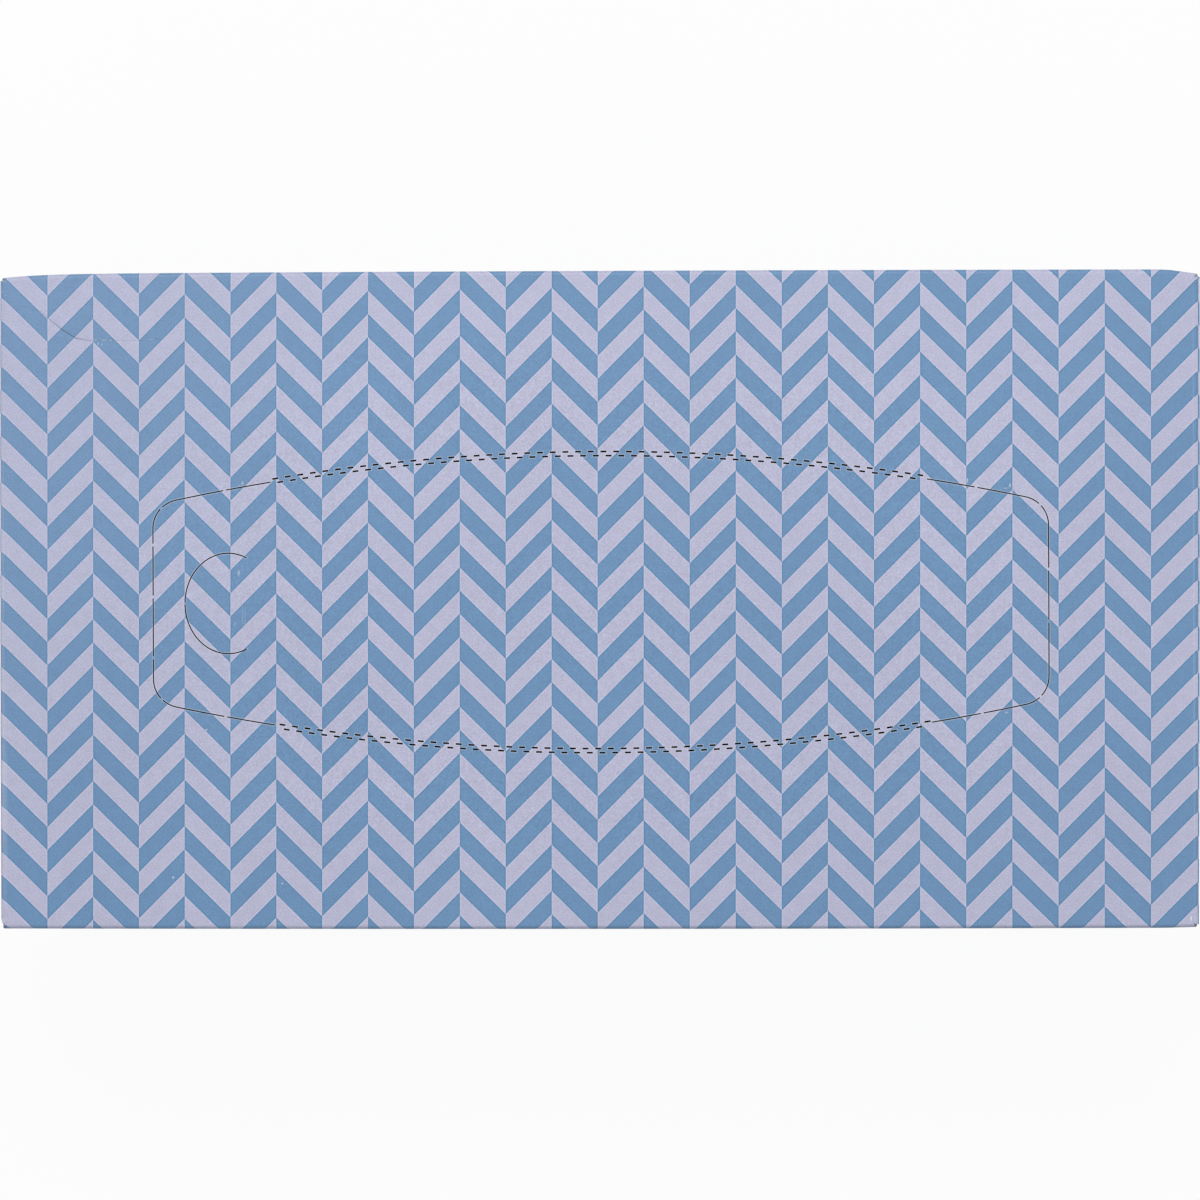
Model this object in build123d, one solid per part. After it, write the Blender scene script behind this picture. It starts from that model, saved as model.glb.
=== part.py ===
from build123d import *
import os
from math import cos, degrees, radians, sin, sqrt

# A flat tissue box, sealed and unopened: one blank of printed board, folded round its tissues and
# glued. X runs along the box, +Y points to its back, Z is up, and the origin is under its middle.
# All sizes are in millimetres.

# Carton
length = 218.0  # over the outer end flaps
width = 119.7  # over the front and back panels
height = 55.0
card = 0.35  # thickness of the board
fold_radius = 0.75  # outside radius of a creased fold
draw_in = 0.8  # how far the back panel comes forward at its two ends
left_draw_in_run = 16.0  # length over which it does so
right_draw_in_run = 9.0
seam_reveal = 0.6  # the back panel's cut edge stops this far above the bottom

# End flaps
outer_flap_clear = 15.0  # from the free edge of the outer flap down to the bottom
inner_flap_clear = 15.0  # from the free edge of the inner flap up to the top
flap_side_gap = 0.8  # from a flap's root to the corner of the box, each side
slack_corner_gap = 2.4  # the same at the front of the left outer flap
flap_taper = 2.5  # how much further in the free edge is, each side
flap_corner_radius = 4.0

# Tear-out panel
tear_length = 162.7
tear_width = 53.7  # at the middle, where it is widest
tear_side_radius = 376.0  # of its two long sides
tear_corner_radius = 5.2
die_shift = (0.33, -0.4)  # of all the cuts from the middle of the top
die_turn = 0.08  # of all the cuts on the top, in degrees
cut_width = 0.18
nick = 0.5  # length of card left uncut to hold the panel in
far_nick_insets = (13.1, 13.1)  # from the left and right ends of the panel to the nicks in a long side
near_nick_insets = (13.2, 12.1)
left_end_nicks = (10.6, 1.2, -9.9)  # places along the cut end, from its middle
right_end_nicks = (5.7, -3.7)
corner_nick_angle = 45.0  # round each corner, in degrees

# Perforations: two rows of dashes along the middle of each long side
dash_pitch = 2.307
dash_length = 1.1
dash_width = 0.3
inner_row_inset = 0.25  # from the line of the end cuts to the row inside it
outer_row_outset = 0.5  # and to the row outside it
far_inner_count = 51  # dashes in the row
far_outer_count = 52
near_inner_count = 52
near_outer_count = 51
far_inner_middle = -0.65  # place of the row's middle along its arc
far_outer_middle = -0.42
near_inner_middle = 0.74
near_outer_middle = 0.36
far_cut_gaps = (1.2, 2.0)  # from the inner row to the left and right end cuts
near_cut_gaps = (0.8, 0.25)

# Thumb tab: a half-moon cut at the left end of the tear-out panel
thumb_inset = 5.8  # from the end of the panel to the cut
thumb_reach = 7.9  # from the tip of the half moon to its widest place
thumb_width = 18.3  # at its widest place
thumb_return = 3.35  # how far the cut runs on past that
thumb_nick = 0.3  # length of card left uncut at the tip

# Worked out from the sizes above
core_half_length = length / 2 - 2 * card
end_width = width - draw_in
end_middle = -draw_in / 2
tear_arc_centre = tear_width / 2 - tear_side_radius


def carton_plan():
    """The box seen from above without its end flaps: the back edge bends forward at both ends."""
    front = -width / 2
    back = width / 2
    left_bend = left_draw_in_run - core_half_length
    right_bend = core_half_length - right_draw_in_run
    left_back = (-core_half_length, back - draw_in)
    right_back = (core_half_length, back - draw_in)
    outline = [
        Polyline(left_back, (-core_half_length, front), (core_half_length, front), right_back),
        TangentArc((right_bend, back), right_back, tangent=(1, 0)),
        Line((right_bend, back), (left_bend, back)),
        TangentArc((left_bend, back), left_back, tangent=(-1, 0)),
    ]
    return make_face(outline)


def carton_core():
    """The four folded panels and the dust flaps, with a rounded fold at every edge and the glued seam
    along the bottom of the back, where the back panel's cut edge shows."""
    plan = carton_plan()
    block = extrude(plan, amount=height)
    block = fillet(block.edges(), fold_radius)
    seam = extrude(plan - Pos(0, -card) * plan, amount=seam_reveal)
    return block - seam


def end_flap(depth, layers_below, front_gap):
    """A flap of the right end, hanging from a fold along the top: its free edge is narrower and has
    round corners, its root stops short of the front corner, and it lies over so many layers of card."""
    front_root = front_gap - end_width / 2
    back_root = end_width / 2 - flap_side_gap
    low = height - depth
    front_side = [(front_root, height), (front_root + flap_taper, low)]
    back_side = [(back_root - flap_taper, low), (back_root, height)]
    panel = make_face(Polyline(*front_side, *back_side, close=True))
    panel = fillet(panel.vertices().sort_by(Axis.Y)[:2], flap_corner_radius)
    face_at = core_half_length + (layers_below + 1) * card
    buried_at = core_half_length - 2 * fold_radius
    upright = Plane((buried_at, end_middle, 0), x_dir=(0, 1, 0), z_dir=(1, 0, 0))
    flap = extrude(upright * panel, amount=face_at - buried_at)
    fold = flap.edges().filter_by(Axis.Y).group_by(Axis.Z)[-1].sort_by(Axis.X)[-1]
    return fillet(fold, fold_radius)


def end_flaps(front_gap):
    """Both flaps of the right end: the inner one stands up from the bottom, the outer one hangs down
    over it from the top."""
    outer = end_flap(height - outer_flap_clear, 1, front_gap)
    hanging = end_flap(height - inner_flap_clear, 0, flap_side_gap)
    inner = mirror(hanging, about=Plane.XY.offset(height / 2))
    return inner + outer


def tear_outline(grow):
    """The tear-out panel, made larger all round by grow: two shallow arcs between straight ends."""
    far_side = Pos(0, tear_arc_centre) * Circle(tear_side_radius + grow)
    near_side = Pos(0, -tear_arc_centre) * Circle(tear_side_radius + grow)
    between = Rectangle(tear_length + 2 * grow, 2 * tear_width)
    panel = far_side & near_side & between
    return fillet(panel.vertices(), tear_corner_radius + grow)


def corner_nick_places():
    """The middle of the nick in each of the panel's four corners."""
    across = tear_length / 2 - tear_corner_radius
    up = tear_arc_centre + sqrt((tear_side_radius - tear_corner_radius) ** 2 - across**2)
    x = across + tear_corner_radius * cos(radians(corner_nick_angle))
    y = up + tear_corner_radius * sin(radians(corner_nick_angle))
    return [(x, y), (-x, y), (-x, -y), (x, -y)]


def row_ends(count, middle):
    """Where a row of dashes begins and ends along X."""
    half = ((count - 1) * dash_pitch + dash_length) / 2
    return [tear_side_radius * sin(place / tear_side_radius) for place in (middle - half, middle + half)]


def kept_card(inner_row_ends, cut_gaps, nick_insets):
    """The card left uncut along the far side: all that the perforations hold, and a nick near each end."""
    left = inner_row_ends[0] - cut_gaps[0]
    right = inner_row_ends[1] + cut_gaps[1]
    end = tear_length / 2
    perforated = Pos((left + right) / 2, tear_width / 2) * Rectangle(right - left, tear_width)
    nick_places = (nick_insets[0] - end, end - nick_insets[1])
    nicks = [Pos(x, tear_width / 2) * Rectangle(nick, tear_width) for x in nick_places]
    return Sketch() + perforated + nicks


def end_cuts():
    """The cut round each end of the tear-out panel, broken by its nicks."""
    line = tear_outline(cut_width / 2) - tear_outline(-cut_width / 2)
    end = tear_length / 2
    kept = [Pos(-end, y) * Rectangle(4 * cut_width, nick) for y in left_end_nicks]
    kept += [Pos(end, y) * Rectangle(4 * cut_width, nick) for y in right_end_nicks]
    kept += [Pos(x, y) * Circle(nick / 2) for x, y in corner_nick_places()]
    far_row_ends = row_ends(far_inner_count, far_inner_middle)
    near_row_ends = row_ends(near_inner_count, near_inner_middle)
    kept.append(kept_card(far_row_ends, far_cut_gaps, far_nick_insets))
    kept.append(mirror(kept_card(near_row_ends, near_cut_gaps, near_nick_insets), about=Plane.XZ))
    return line - kept


def dash_row(outset, count, middle):
    """A row of dashes along the far side of the panel, so far outside the line of its end cuts."""
    radius = tear_side_radius + outset
    sweep = degrees((count - 1) * dash_pitch / radius)
    first = 90 - sweep / 2 - degrees(middle / radius)
    places = PolarLocations(radius, count, first, sweep, endpoint=True)
    return [Pos(0, tear_arc_centre) * place * Rectangle(dash_width, dash_length) for place in places]


def perforations():
    """Both rows of dashes on both long sides of the panel."""
    far_side = dash_row(-inner_row_inset, far_inner_count, far_inner_middle)
    far_side += dash_row(outer_row_outset, far_outer_count, far_outer_middle)
    near_side = dash_row(-inner_row_inset, near_inner_count, near_inner_middle)
    near_side += dash_row(outer_row_outset, near_outer_count, near_outer_middle)
    return Sketch() + far_side + mirror(Sketch() + near_side, about=Plane.XZ)


def thumb_cut():
    """A half moon, open towards the middle of the panel, with a nick at its tip."""
    half = cut_width / 2
    outside = Ellipse(thumb_reach + half, thumb_width / 2 + half)
    inside = Ellipse(thumb_reach - half, thumb_width / 2 - half)
    beyond = Pos(thumb_return, 0) * Rectangle(thumb_reach, 2 * thumb_width, align=(Align.MIN, Align.CENTER))
    tip = Pos(-thumb_reach, 0) * Rectangle(4 * cut_width, thumb_nick)
    return Pos(thumb_inset + thumb_reach - tear_length / 2, 0) * (outside - inside - beyond - tip)


def tissue_box():
    """The sealed box: folded carton, glued end flaps, and the cuts through the card of its top."""
    left_end = mirror(end_flaps(slack_corner_gap), about=Plane.YZ)
    carton = carton_core() + end_flaps(flap_side_gap) + left_end
    cuts = end_cuts() + thumb_cut() + perforations()
    top = Pos(*die_shift, height) * Rot(Z=die_turn)
    return carton - extrude(top * cuts, amount=-card)


os.makedirs("parts", exist_ok=True)
export_step(tissue_box(), "parts/tissue_box.step")
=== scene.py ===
"""Looks of a sealed flat tissue box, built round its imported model.

The carton is one closed skin, worked out panel by panel from the flat blank that it was folded from.
Every corner of the skin knows its place on that blank, so the herringbone print runs on over the folds.
Lengths are in millimetres until a mesh is written.
"""

from __future__ import annotations

import enum
import logging
import math
from collections.abc import Mapping, Sequence
from dataclasses import dataclass, field
from typing import Any

import bmesh
import bpy
import numpy as np
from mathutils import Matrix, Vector
from mathutils.geometry import delaunay_2d_cdt

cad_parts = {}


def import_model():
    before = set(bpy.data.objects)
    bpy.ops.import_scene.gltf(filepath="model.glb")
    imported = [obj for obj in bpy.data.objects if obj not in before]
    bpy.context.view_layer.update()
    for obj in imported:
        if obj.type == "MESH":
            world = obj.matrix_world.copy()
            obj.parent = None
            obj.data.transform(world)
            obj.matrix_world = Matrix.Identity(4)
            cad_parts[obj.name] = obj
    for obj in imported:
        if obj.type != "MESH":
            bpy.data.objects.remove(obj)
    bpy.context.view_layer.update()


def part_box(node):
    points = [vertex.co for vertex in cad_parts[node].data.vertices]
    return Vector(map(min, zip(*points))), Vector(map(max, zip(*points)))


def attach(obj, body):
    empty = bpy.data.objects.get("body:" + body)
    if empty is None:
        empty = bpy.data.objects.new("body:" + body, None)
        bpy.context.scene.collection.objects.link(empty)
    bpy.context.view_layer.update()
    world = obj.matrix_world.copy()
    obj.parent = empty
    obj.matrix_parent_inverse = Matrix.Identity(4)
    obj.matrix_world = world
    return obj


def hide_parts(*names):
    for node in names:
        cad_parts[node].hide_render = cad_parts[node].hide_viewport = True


log = logging.getLogger("tissue_box")

Array = np.ndarray
Ink = tuple[int, int, int]

MM = 0.001
NODE = "tissue_box"
BODY = "root"

# The skin's UV map is the blank laid flat in the unit square.
BLANK_MAP = "OFBake"
BLANK_SPAN = 360.0
BLANK_MIDDLE = (180.0, 240.0)
FOLD_ATTRIBUTE = "fold"
# the press attribute holds painted shade, 0 to 1, and -1 for the painted highlight at the lips of cuts
PAINTED_LIGHT_ATTRIBUTE = "press"

FILL_INSIDE = 1  # tells the filler to keep only triangles that lie inside an outline
FILL_TOLERANCE = 1e-6  # millimetres
WELD_DISTANCE = 1e-6  # metres
SHARP_ANGLE = 40.0  # degrees between two faces, past which their edge is sharp

TOOTH_STRENGTH = 0.25
TOOTH_DEPTH = 0.02  # millimetres

MIX_INPUTS = (0, 6, 7)  # a Mix node's sockets for its share and its two colours
MIX_OUTPUT = 2

WHITE = (1.0, 1.0, 1.0, 1.0)
BLACK = (0.0, 0.0, 0.0, 1.0)


class Face(enum.IntEnum):
    """What a face of the carton shows. The number is its material slot."""

    PRINT = 0
    PLAIN = 1
    RAW = 2
    # painted shade: near black, for the dark inside of the box seen through the cuts
    CUT = 3


class EndLayer(enum.IntEnum):
    """What an area of an end is. The number is its level."""

    DUST_FLAPS = 0
    INNER_FLAP = 1
    OUTER_FLAP = 2


class TopLevel(enum.IntEnum):
    """Levels of the top panel."""

    CUT_FLOOR = 0
    SURFACE = 1


class Side(enum.IntEnum):
    """One of two opposite sides, as the sign of its coordinate."""

    LOW = -1
    HIGH = 1


def dome(t: Array) -> Array:
    """Smooth hump over -1 to 1: the square of one minus t squared, flat at its top and at both ends.

    Args:
        t: Place across the hump.

    Returns:
        Height, 0 to 1.
    """
    return (1 - np.clip(t, -1, 1) ** 2) ** 2


def ease(t: Array) -> Array:
    """Smooth step from 0 to 1: three t squared less two t cubed.

    Args:
        t: Place along the step.

    Returns:
        Height, 0 to 1.
    """
    t = np.clip(t, 0, 1)
    return t * t * (3 - 2 * t)


def ripples(
    along: Array, across: Array, lengths: tuple[float, float], starts: tuple[float, float]
) -> Array:
    """Product of two sines, one along each axis.

    Args:
        along: Place on the first axis.
        across: Place on the second axis.
        lengths: Distance for each radian of the two sines.
        starts: Angle of each at 0.

    Returns:
        Height, -1 to 1.
    """
    return np.sin(along / lengths[0] + starts[0]) * np.sin(across / lengths[1] + starts[1])


def anticlockwise(loop: Array) -> Array:
    """The same loop, turned round if it runs clockwise.

    Args:
        loop: Closed outline, (n, 2).

    Returns:
        The outline with its inside on the left.
    """
    x, y = loop.T
    twice_area = (x * np.roll(y, -1) - y * np.roll(x, -1)).sum()
    return loop if twice_area > 0 else loop[::-1]


def ribbon(path: Array, width: float) -> Array:
    """Outline of a line of the given width: the path moved half the width to each side.

    Args:
        path: Points along the middle of the line, (n, 2).
        width: Width of the line.

    Returns:
        Closed outline, (2 n, 2).
    """
    along = np.gradient(path, axis=0)
    along /= np.linalg.norm(along, axis=1, keepdims=True)
    across = np.stack([-along[:, 1], along[:, 0]], axis=1) * width / 2
    return np.concatenate([path - across, (path + across)[::-1]])


def grown(loop: Array, by: float) -> Array:
    """Outline moved outwards: each corner goes along the sum of its two edges' normals.

    Args:
        loop: Closed outline, (n, 2).
        by: Distance from the old edges to the new ones.

    Returns:
        The larger outline, (n, 2).
    """
    loop = anticlockwise(loop)
    along = np.roll(loop, -1, axis=0) - loop
    along /= np.linalg.norm(along, axis=1, keepdims=True)
    after = np.stack([along[:, 1], -along[:, 0]], axis=1)
    before = np.roll(after, 1, axis=0)
    return loop + by * (before + after) / (1 + (before * after).sum(axis=1, keepdims=True))


def lengths_along(path: Array) -> Array:
    """Length of a path up to each of its points.

    Args:
        path: Points along the path, (n, 2).

    Returns:
        Lengths, (n,).
    """
    steps = np.linalg.norm(np.diff(path, axis=0), axis=1)
    return np.concatenate([[0.0], np.cumsum(steps)])


def stretch(path: Array, start: float, stop: float, step: float) -> Array:
    """Part of a path, from one length along it to another, at even steps.

    Args:
        path: Points along the path, (n, 2).
        start: Length at which the part begins.
        stop: Length at which it ends.
        step: Largest distance between its points.

    Returns:
        Points along the part, (m, 2).
    """
    lengths = lengths_along(path)
    count = max(2, math.ceil((stop - start) / step) + 1)
    at = np.linspace(start, stop, count)
    return np.stack([np.interp(at, lengths, axis) for axis in path.T], axis=1)


def distance_to(path: Array, points: Array) -> Array:
    """Distance from each point to the nearest point of a closely spaced path.

    Args:
        path: Points along the path, (n, 2).
        points: Places to measure from, (m, 2).

    Returns:
        Distances, (m,).
    """
    apart = points[:, None, :] - path[None, :, :]
    return np.sqrt((apart**2).sum(axis=2).min(axis=1))


def rim(columns: Array, rows: Array) -> Array:
    """Edge of a rectangular field, through all its columns and rows.

    Args:
        columns: Places of the columns, from low to high.
        rows: Places of the rows, from low to high.

    Returns:
        Closed outline, (n, 2).
    """
    wide, high = np.ones(len(columns) - 1), np.ones(len(rows) - 1)
    low_side = np.stack([columns[:-1], rows[0] * wide], 1)
    right = np.stack([columns[-1] * high, rows[:-1]], 1)
    high_side = np.stack([columns[:0:-1], rows[-1] * wide], 1)
    left = np.stack([columns[0] * high, rows[:0:-1]], 1)
    return np.concatenate([low_side, right, high_side, left])


@dataclass
class Patch:
    """Part of the skin.

    Attributes:
        places: Corners in the box's frame, (n, 3).
        blank: The same corners on the flat blank, (n, 2).
        fold: How far each corner is into a fold, 0 to 1, (n,).
        press: Painted shade at each corner, 0 to 1, from a pressed crease or a round corner of the box, or -1
            for a painted highlight at the lip of a cut, (n,).
        triangles: Corner numbers, (m, 3).
        finish: What each triangle shows, (m,).
    """

    places: Array
    blank: Array
    fold: Array
    press: Array
    triangles: Array
    finish: Array

    def other_end(self) -> Patch:
        """The same patch at the other end of the box.

        Returns:
            The patch, mirrored along X.
        """
        return Patch(
            self.places * (-1, 1, 1),
            self.blank * (-1, 1),
            self.fold,
            self.press,
            self.triangles[:, ::-1],
            self.finish,
        )


def grid_patch(places: Array, blank: Array, fold: Array, finish: Face) -> Patch:
    """A patch on a grid of rows and columns, each cell two triangles.

    Args:
        places: Corners, (rows, columns, 3).
        blank: The same corners on the blank, (rows, columns, 2).
        fold: How far each corner is into a fold, (rows, columns).
        finish: What the patch shows.

    Returns:
        The patch.
    """
    rows, columns = places.shape[:2]
    number = np.arange(rows * columns).reshape(rows, columns)
    a, b = number[:-1, :-1].ravel(), number[:-1, 1:].ravel()
    c, d = number[1:, 1:].ravel(), number[1:, :-1].ravel()
    triangles = np.concatenate([np.stack([a, b, c], 1), np.stack([a, c, d], 1)])
    return Patch(
        places.reshape(-1, 3),
        blank.reshape(-1, 2),
        fold.ravel(),
        np.zeros(rows * columns),
        triangles,
        np.full(len(triangles), finish),
    )


@dataclass
class Terrace:
    """A flat field cut into areas that lie at different levels, with an upright wall at each step.

    Attributes:
        points: Places on the field, (n, 2).
        level: Level of each place, (n,). A place on a step is there once for each level.
        on_step: Whether the place lies on a step, (n,).
        triangles: Corner numbers, (m, 3).
        area: Level of each triangle, or -1 on a wall, (m,).
    """

    points: Array
    level: Array
    on_step: Array
    triangles: Array
    area: Array

    @classmethod
    def cut(
        cls, border: Array, inner: Array, outlines: Sequence[Array], levels: Sequence[int], ground: int
    ) -> Terrace:
        """Fills the field with triangles that keep to every outline, then steps it.

        Where outlines overlap, the place gets the level furthest from the ground.

        Args:
            border: Edge of the field, (b, 2).
            inner: More points inside it, for a surface that isn't flat, (k, 2).
            outlines: Edges of the areas that leave the ground, each (p, 2).
            levels: Level of each outline's area.
            ground: Level of the rest.

        Returns:
            The stepped field.
        """
        loops = [anticlockwise(loop) for loop in (border, *outlines)]
        counts = np.array([len(loop) for loop in loops])
        starts = np.concatenate([[0], np.cumsum(counts)[:-1]])
        faces = [list(range(a, a + n)) for a, n in zip(starts.tolist(), counts.tolist(), strict=True)]
        places = np.concatenate([*loops, inner])
        found = delaunay_2d_cdt(places.tolist(), [], faces, FILL_INSIDE, FILL_TOLERANCE, True)
        points, _, triangles, _, _, owners = found
        heights = [ground, *levels]
        area = [max((heights[i] for i in held), key=lambda h: abs(h - ground)) for held in owners]
        return cls.stepped(np.array(points), np.array(triangles), np.array(area))

    @classmethod
    def stepped(cls, points: Array, triangles: Array, area: Array) -> Terrace:
        """Parts the areas of a flat mesh by level and walls each step from level to level.

        Args:
            points: Places on the field, (n, 2).
            triangles: Corner numbers, (m, 3).
            area: Level of each triangle, (m,).

        Returns:
            The stepped field.
        """
        count = len(points)
        tail, head = triangles.ravel(), np.roll(triangles, -1, axis=1).ravel()
        owner = np.repeat(np.arange(len(triangles)), 3)
        pair = np.minimum(tail, head) * count + np.maximum(tail, head)
        order = np.argsort(pair, kind="stable")
        same = pair[order][:-1] == pair[order][1:]
        one, two = order[:-1][same], order[1:][same]
        upper = np.where(area[owner[one]] > area[owner[two]], one, two)
        low = np.minimum(area[owner[one]], area[owner[two]])
        high = np.maximum(area[owner[one]], area[owner[two]])
        faces, shown = [triangles + count * area[:, None]], [area]
        for step in range(int(area.min()), int(area.max())):
            edge = upper[(low <= step) & (step < high)]
            a, b = tail[edge] + count * step, head[edge] + count * step
            faces += [np.stack([a, b, b + count], 1), np.stack([a, b + count, a + count], 1)]
            shown.append(np.full(2 * len(edge), -1))
        used, numbers = np.unique(np.concatenate(faces), return_inverse=True)
        place = used % count
        on_step = np.bincount(place)[place] > 1
        return cls(points[place], used // count, on_step, numbers.reshape(-1, 3), np.concatenate(shown))


@dataclass(frozen=True)
class LongSide:
    """A long side of the tear-out panel, seen as if it were the far one.

    Attributes:
        inner: Number of dashes in the inner row, and the place of its middle along the arc.
        outer: The same of the outer row.
        cut_gaps: From the inner row to the left and right end cuts.
        nick_insets: From the left and right ends of the panel to the nicks in this side.
    """

    inner: tuple[int, float]
    outer: tuple[int, float]
    cut_gaps: tuple[float, float]
    nick_insets: tuple[float, float]


@dataclass(frozen=True)
class TearPanel:
    """Cuts of the tear-out panel and its thumb tab, on the top panel's own plan."""

    length: float = 162.7
    width: float = 53.7  # at the middle, where it is widest
    side_radius: float = 376.0
    corner_radius: float = 5.2
    shift: tuple[float, float] = (0.33, -0.4)  # of all the cuts from the middle of the top
    turn: float = 0.08  # of all the cuts, in degrees
    cut_width: float = 0.22
    nick: float = 0.5  # length of card left uncut
    corner_nick_angle: float = 45.0  # round each corner, in degrees
    left_end_nicks: tuple[float, ...] = (10.6, 1.2, -9.9)
    right_end_nicks: tuple[float, ...] = (5.7, -3.7)
    dash_pitch: float = 2.307
    dash_length: float = 1.1
    dash_width: float = 0.33
    inner_row_inset: float = 0.25  # from the line of the end cuts
    outer_row_outset: float = 0.5
    far: LongSide = LongSide((51, -0.65), (52, -0.42), (1.2, 2.0), (13.1, 13.1))
    near: LongSide = LongSide((52, 0.74), (51, 0.36), (0.8, 0.25), (13.2, 12.1))
    thumb_inset: float = 5.8  # from the end of the panel to the half moon
    thumb_reach: float = 7.9  # from the tip of the half moon to its widest place
    thumb_width: float = 18.3
    thumb_return: float = 3.35  # how far the cut runs on past its widest place
    thumb_nick: float = 0.3
    lip: float = 0.18  # width of the painted highlight round each cut
    point_step: float = 0.8  # between the corners of an outline
    fine_points: int = 100  # along a stretch that is drawn finely before it is parted

    @property
    def arc_centre(self) -> float:
        """Where the far long side's arc has its centre, along Y."""
        return self.width / 2 - self.side_radius

    @property
    def corner_centre(self) -> tuple[float, float]:
        """Centre of the far right corner's round, which touches the long side's arc and the end.

        Returns:
            Its place, along X and Y.
        """
        x = self.length / 2 - self.corner_radius
        reach = self.side_radius - self.corner_radius
        return x, self.arc_centre + math.sqrt(reach**2 - x**2)

    def cut_start(self, side: LongSide, end: Side) -> float:
        """Where an end cut begins in a long side, from the middle of the panel towards that end.

        Args:
            side: The long side.
            end: LOW for the left end, HIGH for the right.

        Returns:
            Distance along X.
        """
        dashes, middle = side.inner
        row = ((dashes - 1) * self.dash_pitch + self.dash_length) / 2 + end * middle
        return self.side_radius * math.sin(row / self.side_radius) + side.cut_gaps[end is Side.HIGH]

    def end_path(self, end: Side) -> Array:
        """Cut round an end, drawn at the right: far arc, corner, straight end, corner and near arc.

        Args:
            end: LOW for the left end, HIGH for the right.

        Returns:
            Points along the cut, finely spaced, (n, 2).
        """
        x, y = self.corner_centre
        turn = math.atan2(y - self.arc_centre, x)
        bend = np.linspace(turn, 0, self.fine_points)[1:]
        corner = np.stack([np.cos(bend), np.sin(bend)], 1) * self.corner_radius + (x, y)
        halves = []
        for side in (self.far, self.near):
            start = math.acos(self.cut_start(side, end) / self.side_radius)
            arc = np.linspace(start, turn, 2 * self.fine_points)
            along = np.stack([np.cos(arc), np.sin(arc)], 1) * self.side_radius + (0, self.arc_centre)
            halves.append(np.concatenate([along, corner]))
        far, near = halves
        straight = np.linspace(far[-1], near[-1] * (1, -1), self.fine_points)[1:-1]
        return np.concatenate([far, straight, near[::-1] * (1, -1)])

    def nick_places(self, end: Side) -> Array:
        """Middles of the nicks round an end, drawn at the right.

        Args:
            end: LOW for the left end, HIGH for the right.

        Returns:
            Places, (n, 2).
        """
        tip = self.length / 2
        insets = np.array([side.nick_insets[end is Side.HIGH] for side in (self.far, self.near)])
        x = tip - insets
        y = (self.arc_centre + np.sqrt(self.side_radius**2 - x**2)) * (1, -1)
        turn = math.radians(self.corner_nick_angle)
        corner = np.array(self.corner_centre)
        corner += np.array([math.cos(turn), math.sin(turn)]) * self.corner_radius
        in_end = self.right_end_nicks if end is Side.HIGH else self.left_end_nicks
        straight = [(tip, place) for place in in_end]
        return np.concatenate([np.stack([x, y], 1), [corner, corner * (1, -1)], straight])

    def end_cuts(self, end: Side) -> list[Array]:
        """Outlines of the cut round an end, parted by its nicks.

        Args:
            end: LOW for the left end, HIGH for the right.

        Returns:
            Outlines, each (n, 2).
        """
        path = self.end_path(end)
        lengths = lengths_along(path)
        apart = np.linalg.norm(path[None] - self.nick_places(end)[:, None], axis=2)
        gaps = np.sort(lengths[apart.argmin(axis=1)])
        starts = np.concatenate([[0.0], gaps + self.nick / 2])
        stops = np.concatenate([gaps - self.nick / 2, lengths[-1:]])
        parts = [stretch(path, a, b, self.point_step) for a, b in zip(starts, stops, strict=True)]
        return [ribbon(part, self.cut_width) * (end, 1) for part in parts]

    def dashes(self, outset: float, row: tuple[int, float]) -> list[Array]:
        """A row of dashes along the far side, each a small rectangle across the arc.

        Args:
            outset: How far the row runs outside the line of the end cuts.
            row: Number of dashes, and the place of the row's middle along the arc.

        Returns:
            Outlines, each (4, 2).
        """
        (count, middle), radius = row, self.side_radius + outset
        along = (np.arange(count) - (count - 1) / 2) * self.dash_pitch + middle
        corners = np.array([(-1, -1), (1, -1), (1, 1), (-1, 1)]) / 2
        angle = (along[:, None] + corners[:, 0] * self.dash_length) / radius
        out = radius + corners[:, 1] * self.dash_width
        return list(np.stack([out * np.sin(angle), out * np.cos(angle) + self.arc_centre], axis=2))

    def perforations(self, side: LongSide) -> list[Array]:
        """Both rows of dashes of a long side, drawn at the far side."""
        inner = self.dashes(-self.inner_row_inset, side.inner)
        return inner + self.dashes(self.outer_row_outset, side.outer)

    def thumb_cuts(self) -> list[Array]:
        """Outlines of the half moon: an ellipse, open to the middle of the panel, with a nick at its tip.

        Returns:
            Outlines, each (n, 2).
        """
        first = math.acos(self.thumb_return / self.thumb_reach)
        angle = np.linspace(first, 2 * math.pi - first, 3 * self.fine_points)
        moon = np.stack([np.cos(angle) * self.thumb_reach, np.sin(angle) * self.thumb_width / 2], 1)
        moon += (self.thumb_inset + self.thumb_reach - self.length / 2, 0)
        total = lengths_along(moon)[-1]
        spans = [(0, (total - self.thumb_nick) / 2), ((total + self.thumb_nick) / 2, total)]
        return [ribbon(stretch(moon, *span, self.point_step), self.cut_width) for span in spans]

    def outlines(self) -> list[Array]:
        """Outlines of all the cuts, turned and shifted together on the top panel.

        Returns:
            Outlines, each (n, 2).
        """
        ends = [cut for end in Side for cut in self.end_cuts(end)]
        near = [dash * (1, -1) for dash in self.perforations(self.near)]
        cosine, sine = math.cos(math.radians(self.turn)), math.sin(math.radians(self.turn))
        turned = np.array([(cosine, sine), (-sine, cosine)])
        return [
            cut @ turned + self.shift
            for cut in [*ends, *self.perforations(self.far), *near, *self.thumb_cuts()]
        ]


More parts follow.
